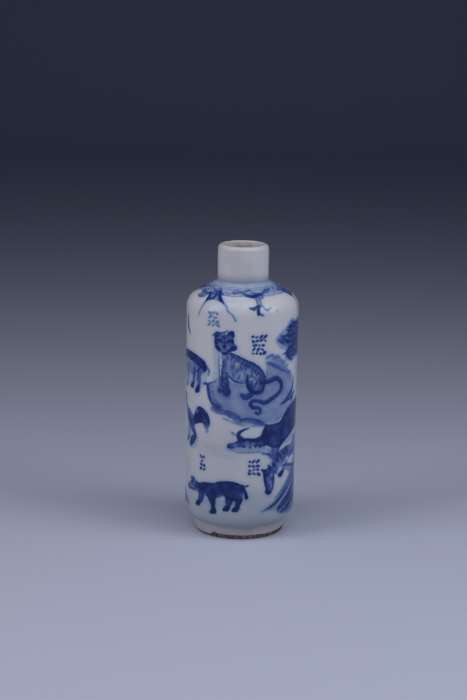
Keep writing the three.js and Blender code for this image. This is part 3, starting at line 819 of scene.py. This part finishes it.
painting = {
    # faint blue behind the figures: place, tone, widths, and the way it runs
    "mists": [
        (0, 46, 0.2, (1.6, 2.0, 2.2, 1.8), [(-7.2, 11), (-7.0, 6.5), (-6.9, 2), (-7.6, -1.4)]),
        (0, 46, 0.16, (2.6, 3.2, 3.0, 2.6), [(19.6, 2), (20.4, -2), (20.6, -8), (20.6, -13)]),
        (0, 26, 0.08, (2.0, 3.4, 3.0, 2.0), [(-10, 0.6), (-6, -0.4), (-2, -0.4), (2, 0.6)]),
        (6, 11, 0.08, (4.0, 6.0, 5.0), [(-2.6, 1.6), (1.2, 0), (5.0, -1.6)]),
        (-7, 66, 0.09, (3.0, 5.4, 5.0, 3.0), [(-5, 0), (-1, 0.4), (3, 0.2), (6, 0.6)]),
        (13, 22, 0.12, (1.4, 2.4, 2.0), [(-0.6, 3), (0.4, -0.6), (-0.4, -4)]),
    ],
    # each figure and its place, in the order they are painted
    "front": [
        (tiger, 0, 46), (tigerHead, -4.8, 55.6), (goat, -16, 46), (rooster, -15, 31), (boar, -8, 13),
        (buffalo, 8, 30), (horse, 11, 20), (grasses, 14, 13), (tree, 16, 55),
        (knot, -9.4, 66.6), (tassel, 4.8, 66.6), (tassel, -27, 66.6), (knot, 24, 66.6),
        (tassel, 38, 66.6), (knot, -42, 66.6),
    ],
    # place, rows, width, tone and seed
    "inscriptions": [
        (-8.4, 63.5, 4, 3.2, 0.66, 1), (4.4, 57.5, 5, 3.8, 1, 2), (-11.3, 23.1, 4, 2.0, 1, 3),
        (3.7, 22.9, 4, 3.4, 1, 4), (-25.6, 61.4, 4, 3, 0.95, 7), (29, 60, 4, 3, 0.95, 8),
        (-33, 60, 4, 3, 0.9, 9), (44, 36, 4, 2.6, 0.95, 10), (-27.5, 39.4, 4, 2.6, 0.95, 11),
        (32, 25.4, 4, 2.6, 0.95, 12),
    ],
    # figure, place, size and whether it is mirrored
    "farSide": [
        (ledge, 38, 45, 0.8, True), (rabbit, 37, 47.2, 1, False), (snake, 35, 30, 1, False),
        (hound, 38.5, 14, 1, False), (grasses, -24, 12, 0.9, True), (tree, -41, 54.5, 0.68, True),
        (rabbit, -36, 45, 0.9, True), (hound, -34, 29, 0.95, True), (cloud, -40, 37, 1, False),
        (cloud, -46, 20, 1, False),
    ],
}


def paintWall(w):
    paintCollar(collar)
    ledge(Brush(0, 46))
    for s, h, tone, widths, path in w["mists"]:
        Brush(s, h).mist(tone, widths, *path)
    for figure, s, h in w["front"]:
        figure(Brush(s, h))
    for s, h, rowsDown, wide, tone, seed in w["inscriptions"]:
        inscription(Brush(s, h), rowsDown, wide, tone, seed)
    Brush(-20, 58.7).line(1, (0.5, 0.9, 1.1, 0.6), (0.3, 2.6), (0.4, 1.0), (0.9, -0.8), (2.0, -2.3))
    Brush(0, 0).dots(0.8, 0.32, (9.9, 64.1))
    for figure, s, h, size, mirrored in w["farSide"]:
        figure(Brush(s, h, size, mirrored))


paintWall(painting)
print("painting laid on the wall")


wear = {
    "outOfRound": 0.03,
    "turning": 0.011,  # height of the faint rings left by turning
    "turningPitch": 4.7,
    "finePitch": 1.9,
    "unevenFrom": (1.5, 9),  # the unevenness sets in between these heights
    "unevenTo": (60, 68),  # and mostly goes again between these
    "glazeStep": 0.07,  # the glaze stands this proud of the bare rim
    "bareRim": (0.58, 1.26),  # height of the unglazed rim, at the back and in front
    "bareRimWander": 0.16,
    "bareRimFront": (-40, -30, 70, 100),  # degrees over which it rises and falls again
    "bareRimInside": (0.9, 0.2),  # inside the foot ring, and its wander
    "rimMiddle": 11.3,  # radius at which the outside ends under the foot
    "chipsOutside": 11.5,  # chips lie beyond this radius
    "bigChip": (-33, 0.95, (0.75, 0.5), 0.42),  # degrees from the front, height, size and depth
    "smallChips": 9,
    "smallChipSize": ((0.25, 0.55), (0.15, 0.3)),  # least and most, across and up
    "smallChipHeight": (0.3, 1.1),
    "smallChipDepth": (0.06, 0.16),
    # where the glaze has gathered, how widely and how deep; the pool at the foot is also painted shade
    # on the undercut
    "neckPool": (neckFoot, 1.2, 0.72),
    "footPoolAndShade": (4.3, 0.9, 0.3),
    # painted shade on the lower wall, with some glaze gathered near the base: where it thins out
    # upwards on the wall, and how deep it is below
    "basePoolAndShade": (6, 18, 0.5),
    # painted shade only: the lower half of the wall is darkened, fading out upwards
    "run": (14, 48, 0.3),
    "footTop": (3.6, 4.6),  # where the foot meets the body
    "thinLip": (78.2, 79.4, 0.25),  # between which heights it has run thin, and by how much
    "thinFoot": 0.9,
    "stainTop": 79,  # the mouth is stained below this height
}


def ripple(angle, seed, count=9):
    # a wandering line round the axis: sines of rising number, each lower than the last
    chance = np.random.default_rng(seed)
    waves = []
    for k in range(2, 2 + count):
        waves.append(chance.uniform(0.5, 1) / k**0.7 * np.sin(k * angle + chance.uniform(0, 6.3)))
    return np.sum(waves, 0) / 2


def shapeVessel(w):
    # every row turned round the axis, a little out of round, with the glaze's edge and the chipped rim
    rr, aa = np.meshgrid(radius, around, indexing="ij")
    zz = np.repeat(height[:, None], len(around), 1)
    part = rowPart[:, None]
    lipTop = form["neckRadius"] - form["lipCurve"]
    outer = np.isin(part, ("foot", "wall", "neck")) & (rr > lipTop)
    calm = eased(zz, *w["unevenFrom"]) * (1 - 0.7 * eased(zz, *w["unevenTo"])) * outer
    rr = rr + calm * w["outOfRound"] * np.sin(2 * aa + 0.8)
    rr += calm * 0.4 * w["outOfRound"] * np.sin(3 * aa + 0.05 * zz)
    rr += calm * w["turning"] * np.sin(2 * math.pi * zz / w["turningPitch"] + 0.5 * np.sin(aa))
    rr += calm * 0.5 * w["turning"] * np.sin(2 * math.pi * zz / w["finePitch"] + aa)
    # distance above the glaze's lower edge, outside and inside the foot: it stops higher in front
    riseFrom, riseTo, fallFrom, fallTo = w["bareRimFront"]
    degrees = np.degrees(aa)
    inFront = eased(degrees, riseFrom, riseTo) * (1 - eased(degrees, fallFrom, fallTo))
    low, high = w["bareRim"]
    edgeOutside = low + inFront * (high - low) + w["bareRimWander"] * ripple(aa, 3)
    insideRim, insideWander = w["bareRimInside"]
    edgeInside = insideRim + insideWander * ripple(aa, 4)
    glaze = np.where(rr > w["rimMiddle"], zz - edgeOutside, zz - edgeInside)
    glaze = np.where(part == "inside", 5, glaze)
    rr -= (part == "foot") * w["glazeStep"] * (1 - eased(glaze, -0.1, 0.15)) * eased(zz, 0.02, 0.3)
    # chips: hollows in the rim's outer edge, each with a lumpy outline
    chance = np.random.default_rng(21)
    angle, z, size, deep = w["bigChip"]
    chips = [(math.radians(angle), z, size, deep)]
    for _ in range(w["smallChips"]):
        size = [chance.uniform(*limits) for limits in w["smallChipSize"]]
        angle = chance.uniform(-math.pi, math.pi)
        z = chance.uniform(*w["smallChipHeight"])
        chips.append((angle, z, size, chance.uniform(*w["smallChipDepth"])))
    footZone = np.isin(part, ("foot", "underside"))
    for angle, z, (wide, tall), deep in chips:
        ds = ((aa - angle + math.pi) % (2 * math.pi) - math.pi) * rr
        lump = 1 + 0.3 * np.sin(5 * np.arctan2(zz - z, ds) + angle)
        hollow = np.exp(-(((ds / wide) ** 2 + ((zz - z) / tall) ** 2) * lump) ** 1.5)
        hollow = hollow * footZone * (rr > w["chipsOutside"])
        rr -= deep * hollow
        glaze -= 1.5 * hollow
    x, y = rr * np.sin(aa), -rr * np.cos(aa)
    return np.stack([x, y, zz], -1), glaze


def glazeDepthAndShade(w):
    # for each row: how deep the glaze has pooled, together with painted shade on the undercut and lower
    # wall, how stained it is, and how thin it has run
    outside = np.isin(rowPart, ("foot", "wall", "neck"))
    onFoot = 1 - eased(height, *w["footTop"])
    at, wide, deep = w["neckPool"]
    poolAndShade = deep * np.exp(-(((up - at) / wide) ** 2))
    # the base pool and the run darken the lower wall: painted shade, the base pool with some real
    # pooling
    for key in ("basePoolAndShade", "run"):
        low, high, deep = w[key]
        poolAndShade = poolAndShade + deep * (1 - eased(height, low, high))
    # the foot pool is glaze gathered in the groove and painted shade on the undercut
    at, wide, deep = w["footPoolAndShade"]
    poolAndShade = outside * (poolAndShade * (1 - 0.8 * onFoot) + deep * np.exp(-(((height - at) / wide) ** 2)))
    stained = (rowPart == "inside") * (1 - eased(height, w["stainTop"] - 1, w["stainTop"] + 0.6))
    low, high, thin = w["thinLip"]
    thinned = thin * eased(height, low, high) + w["thinFoot"] * onFoot * (rowPart == "foot")
    return np.repeat(np.stack([poolAndShade, stained, thinned], -1)[:, None], len(around), 1)


def closedLathe(name, points, bottomCentre, topCentre):
    # quads between neighbouring rows and columns, and a fan of triangles at each end
    rowCount, columnCount = points.shape[:2]
    index = np.arange(rowCount * columnCount).reshape(rowCount, columnCount)
    right = np.roll(index, -1, 1)
    quads = np.stack([index[:-1], right[:-1], right[1:], index[1:]], -1).reshape(-1, 4)
    first, last = rowCount * columnCount, rowCount * columnCount + 1
    fanLow = np.stack([right[0], index[0], np.full(columnCount, first)], -1)
    fanHigh = np.stack([index[-1], right[-1], np.full(columnCount, last)], -1)
    vertices = np.vstack([points.reshape(-1, 3), [bottomCentre, topCentre]]) * mm
    mesh = bpy.data.meshes.new(name)
    mesh.vertices.add(len(vertices))
    mesh.vertices.foreach_set("co", vertices.astype(np.float32).ravel())
    corners = np.concatenate([quads.ravel(), fanLow.ravel(), fanHigh.ravel()])
    sizes = np.r_[np.full(len(quads), 4), np.full(2 * columnCount, 3)]
    mesh.loops.add(len(corners))
    mesh.loops.foreach_set("vertex_index", corners.astype(np.int32))
    mesh.polygons.add(len(sizes))
    mesh.polygons.foreach_set("loop_start", np.r_[0, np.cumsum(sizes)[:-1]].astype(np.int32))
    mesh.polygons.foreach_set("use_smooth", np.ones(len(sizes), bool))
    mesh.update(calc_edges=True)
    mesh.validate()
    made = bpy.data.objects.new(name, mesh)
    bpy.context.scene.collection.objects.link(made)
    return made


def storeOn(made, name, values):
    # one value or one triple for each vertex
    kind = "FLOAT" if values.ndim == 1 else "FLOAT_VECTOR"
    field = made.data.attributes.new(name, kind, "POINT")
    field.data.foreach_set("value" if values.ndim == 1 else "vector", values.astype(np.float32).ravel())


points, glazeEdge = shapeVessel(wear)
# its first channel holds glaze pooling together with painted shade low on the wall
glazeCastAndShade = glazeDepthAndShade(wear)
bottle = closedLathe(
    "painted_bottle", points, (0, 0, form["recess"]), (0, 0, form["recess"] + form["floor"])
)
spots = len(bottle.data.vertices)
paintedSpots = (paintedRows[:, None] * len(around) + np.arange(len(around))).ravel()
for name, key, empty in (("brushEdge", "edge", farOff), ("brushTone", "tone", 0)):
    values = np.full((spots, 3), float(empty))
    values[paintedSpots] = np.stack([layers[layer][key] for layer in layers], 1)
    storeOn(bottle, name, values)
# the last two vertices are the middles of the underside, glazed, and of the floor, stained
storeOn(bottle, "glazeEdge", np.r_[glazeEdge.ravel(), [2, 5]])
storeOn(bottle, "glazeCastAndShade", np.vstack([glazeCastAndShade.reshape(-1, 3), [[0.4, 0, 0], [0, 1, 0]]]))
print("vessel made:", sum(len(p.vertices) - 2 for p in bottle.data.polygons), "triangles")


def add(tree, kind, *inputs, named=(), **settings):
    # one node with its settings. Its inputs come in order, then by name: plain values, nodes or sockets
    made = tree.nodes.new("ShaderNode" + kind)
    for key, value in settings.items():
        setattr(made, key, value)
    wanted = list(zip([socket for socket in made.inputs if socket.enabled], inputs))
    wanted += [(made.inputs[key], value) for key, value in dict(named).items()]
    for socket, value in wanted:
        if isinstance(value, bpy.types.Node):
            value = next(output for output in value.outputs if output.enabled)
        if isinstance(value, bpy.types.NodeSocket):
            tree.links.new(value, socket)
        else:
            socket.default_value = value
    return made


def newMaterial(name):
    material = bpy.data.materials.new(name)
    material.use_nodes = True
    tree = material.node_tree
    tree.nodes.clear()
    return material, tree


porcelain = {
    "warm": "#d8d5d3",  # faint cloudy warmth in the body
    "poolAndShade": "#b6c4cf",  # multiplies the colour where the glaze lies thick, and as painted shade on the undercut and lower wall
    "thin": "#dcd9d6",  # multiplies it where the glaze has run thin
    "stain": "#9b8574",  # old powder in the mouth
    "cobalt": [(0, "#dcdcdd"), (0.2, "#bccadb"), (0.4, "#99adca"), (0.55, "#7c92bd"),
               (0.72, "#546dab"), (0.88, "#2a4890"), (1, "#0d2465")],
    "rough": 0.2,
    "roughVaries": 0.08,
    "ior": 1.45,
    "specular": 0.42,
    "dimpleDepth": 0.012,
}
biscuit = {"clay": "#7c7164", "dirt": "#37312b", "rough": 0.75}
clouds = {
    # the cloudy patterns, each centred on 0: how many mm its features are across, detail and roughness
    "feather": (0.45, 3, 0.6),  # frays the edge of every stroke
    "loading": (2.6, 3, 0.5),  # a brush running full and dry
    "speckle": (0.5, 2, 0.5),  # grains of cobalt, far coarser than real ones so that they show
    "warmth": (14, 2, 0.5),
    "powder": (2.2, 3, 0.5),  # what clings in the mouth
    "glazeFray": (0.7, 3, 0.5),  # the glaze's lower edge
    "gloss": (3.5, 2, 0.5),
    "dimples": (1.3, 1, 0.5),  # the glaze's faint orange peel
    "grime": (0.9, 4, 0.5),  # dirt in the bare clay
}
brushwork = {
    # for each layer of paint: softness and wander of its edge in mm, unevenness, wetter rim, and how
    # much faint blue has run into the glaze round it
    "line": (0.25, 0.32, 0.3, 0.0, 0.12),
    "wash": (0.32, 0.5, 0.5, 0.1, 0.18),
    "pale": (0.5, 0.9, 0.8, 0.05, 0.2),
}


def biscuitColour(tree, cloud):
    # fired clay left bare on the foot's rim: matt and gritty, grey-brown with dirt rubbed in
    grime = add(tree, "MapRange", cloud["grime"], -0.12, 0.16, interpolation_type="SMOOTHSTEP")
    dirt, clay = linear(biscuit["dirt"]), linear(biscuit["clay"])
    return add(tree, "Mix", grime, dirt, clay, data_type="RGBA")


def cobaltDepth(tree, cloud):
    # how deep the blue is: each layer has a feathered edge and the unevenness of a loaded brush, and
    # leaves 1 - cover * depth of the white beneath it
    edges = add(tree, "Attribute", attribute_name="brushEdge").outputs["Vector"]
    tones = add(tree, "Attribute", attribute_name="brushTone").outputs["Vector"]
    edges = add(tree, "SeparateXYZ", edges).outputs
    tones = add(tree, "SeparateXYZ", tones).outputs
    clear = 1.0
    for edge, tone, layer in zip(edges, tones, layers):
        soft, wander, uneven, wet, run = brushwork[layer]
        moved = add(tree, "Math", cloud["feather"], wander, edge, operation="MULTIPLY_ADD")
        halo = add(tree, "MapRange", moved, -1.35, 0.2, 0.0, run, interpolation_type="SMOOTHSTEP")
        inside = add(tree, "MapRange", moved, -soft, soft, interpolation_type="SMOOTHSTEP")
        cover = add(tree, "Math", inside, halo, operation="MAXIMUM")
        rim = add(tree, "MapRange", moved, 0.0, 0.8, 1 + wet, 1.0, interpolation_type="SMOOTHSTEP")
        depth = add(tree, "Math", tone, rim, operation="MULTIPLY")
        varied = add(tree, "Math", cloud["loading"], uneven, 1.0, operation="MULTIPLY_ADD")
        varied = add(tree, "Math", cloud["speckle"], uneven * 0.3, varied, operation="MULTIPLY_ADD")
        depth = add(tree, "Math", depth, varied, operation="MULTIPLY")
        laid = add(tree, "Math", cover, depth, operation="MULTIPLY")
        left = add(tree, "Math", 1.0, laid, operation="SUBTRACT")
        clear = add(tree, "Math", clear, left, operation="MULTIPLY")
    return add(tree, "Math", 1.0, clear, operation="SUBTRACT")


def glazedPorcelain():
    # fired porcelain under a clear, faintly blue glaze, which looks wet and blurs the cobalt beneath it
    material, tree = newMaterial("glazed porcelain")
    where = add(tree, "TexCoord").outputs["Object"]
    cloud = {}
    for name, (size, detail, rough) in clouds.items():
        made = add(tree, "TexNoise", where, 1 / (size * mm), detail, rough)
        cloud[name] = add(tree, "Math", made, 0.5, operation="SUBTRACT")
    ramp = add(tree, "ValToRGB", cobaltDepth(tree, cloud))
    stops = ramp.color_ramp.elements
    for i, (at, colour) in enumerate(porcelain["cobalt"]):
        stop = stops[i] if i < 2 else stops.new(at)
        stop.position, stop.color = at, linear(colour)
    smooth = "SMOOTHSTEP"
    warmth = add(tree, "MapRange", cloud["warmth"], 0.02, 0.16, 0.0, 0.25, interpolation_type=smooth)
    powder = add(tree, "MapRange", cloud["powder"], -0.2, 0.1, 0.35, 0.95, interpolation_type=smooth)
    # the first channel of the cast is glaze pooling together with painted shade low on the wall
    cast = add(tree, "Attribute", attribute_name="glazeCastAndShade").outputs["Vector"]
    poolAndShade, stained, thinned = add(tree, "SeparateXYZ", cast).outputs
    stained = add(tree, "Math", stained, powder, operation="MULTIPLY")
    glaze = add(tree, "Attribute", attribute_name="glazeEdge").outputs["Fac"]
    frayed = add(tree, "Math", cloud["glazeFray"], 0.5, glaze, operation="MULTIPLY_ADD")
    bare = add(tree, "MapRange", frayed, 0.06, -0.06, interpolation_type=smooth)
    colour = ramp
    for share, other, mode in (
        (warmth, linear(porcelain["warm"]), "MULTIPLY"),
        (poolAndShade, linear(porcelain["poolAndShade"]), "MULTIPLY"),
        (thinned, linear(porcelain["thin"]), "MULTIPLY"),
        (stained, linear(porcelain["stain"]), "MIX"),
        (bare, biscuitColour(tree, cloud), "MIX"),
    ):
        colour = add(tree, "Mix", share, colour, other, data_type="RGBA", blend_type=mode)
    varies, rougher = porcelain["roughVaries"], biscuit["rough"] - porcelain["rough"]
    rough = add(tree, "Math", cloud["gloss"], varies, porcelain["rough"], operation="MULTIPLY_ADD")
    rough = add(tree, "Math", bare, rougher, rough, operation="MULTIPLY_ADD")
    dimples = {"Strength": 0.5, "Distance": porcelain["dimpleDepth"] * mm, "Height": cloud["dimples"]}
    bump = add(tree, "Bump", named=dimples)
    shader = add(tree, "BsdfPrincipled", named={
        "Base Color": colour, "Roughness": rough, "IOR": porcelain["ior"],
        "Specular IOR Level": porcelain["specular"], "Normal": bump,
    })
    add(tree, "OutputMaterial", shader)
    return material


bottle.data.materials.append(glazedPorcelain())
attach(bottle, "root")
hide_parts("bottle")
print("materials made")


studio = {
    "paper": "#c4cbdc",
    "paperRough": 0.8,
    "paperFront": -1500,
    "paperBend": 900,
    "bendRadius": 500,
    "paperTop": 1700,
    "halfWidth": 2000,
    "ambient": "#8d95b6",
    "ambientStrength": 0.085,
}
lamps = {
    # place, what it aims at, width and height, spread in degrees, watts, colour
    "top_softbox": ((80, -171, 318), (80, -186, 0), (560, 350), 152, 0.57, "#f8f5fb"),
    "left_panel": ((-390, -200, 290), (0, 0, 30), (220, 280), 140, 0.42, "#f4f1fc"),
    "right_panel": ((400, -180, 290), (0, 0, 30), (220, 280), 140, 0.39, "#e6ecfc"),
}


def paperSweep(s):
    # flat paper that runs back, bends up a quarter circle and stands behind: matt, so that only soft
    # shade shows on it
    back = s["paperBend"] + s["bendRadius"]
    flat = np.linspace(s["paperFront"], s["paperBend"], 30)
    turn = np.linspace(0, math.pi / 2, 16)[1:]
    standing = np.linspace(s["bendRadius"], s["paperTop"], 9)[1:]
    x = np.linspace(-s["halfWidth"], s["halfWidth"], 24)
    y = np.r_[flat, s["paperBend"] + s["bendRadius"] * np.sin(turn), np.full(len(standing), back)]
    z = np.r_[np.zeros(len(flat)), s["bendRadius"] * (1 - np.cos(turn)), standing]
    grid = np.stack(np.broadcast_arrays(x[None], y[:, None], z[:, None]), -1)
    index = np.arange(len(y) * len(x)).reshape(len(y), len(x))
    quads = np.stack([index[:-1, :-1], index[:-1, 1:], index[1:, 1:], index[1:, :-1]], -1)
    quads = quads.reshape(-1, 4)
    mesh = bpy.data.meshes.new("paper")
    mesh.from_pydata((grid.reshape(-1, 3) * mm).tolist(), [], quads.tolist())
    mesh.polygons.foreach_set("use_smooth", np.ones(len(quads), bool))
    made = bpy.data.objects.new("paper", mesh)
    bpy.context.scene.collection.objects.link(made)
    material, tree = newMaterial("pale matt paper")
    finish = {"Base Color": linear(s["paper"]), "Roughness": s["paperRough"]}
    add(tree, "OutputMaterial", add(tree, "BsdfPrincipled", named=finish))
    mesh.materials.append(material)
    return made


def hangLamp(name, place, aim, size, spread, watts, colour):
    light = bpy.data.lights.new(name, "AREA")
    light.shape = "RECTANGLE"
    light.size, light.size_y = size[0] * mm, size[1] * mm
    light.spread = math.radians(spread)
    light.energy = watts
    light.color = linear(colour)[:3]
    made = bpy.data.objects.new(name, light)
    made.location = Vector(place) * mm
    made.rotation_euler = (Vector(aim) - Vector(place)).to_track_quat("-Z", "Y").to_euler()
    bpy.context.scene.collection.objects.link(made)


paperSweep(studio)
for name, settings in lamps.items():
    hangLamp(name, *settings)
world = bpy.data.worlds.new("studio air")
world.use_nodes = True
air = world.node_tree.nodes["Background"]
air.inputs["Color"].default_value = linear(studio["ambient"])
air.inputs["Strength"].default_value = studio["ambientStrength"]
bpy.context.scene.world = world
bpy.context.scene.view_settings.view_transform = "Standard"
print("studio set")
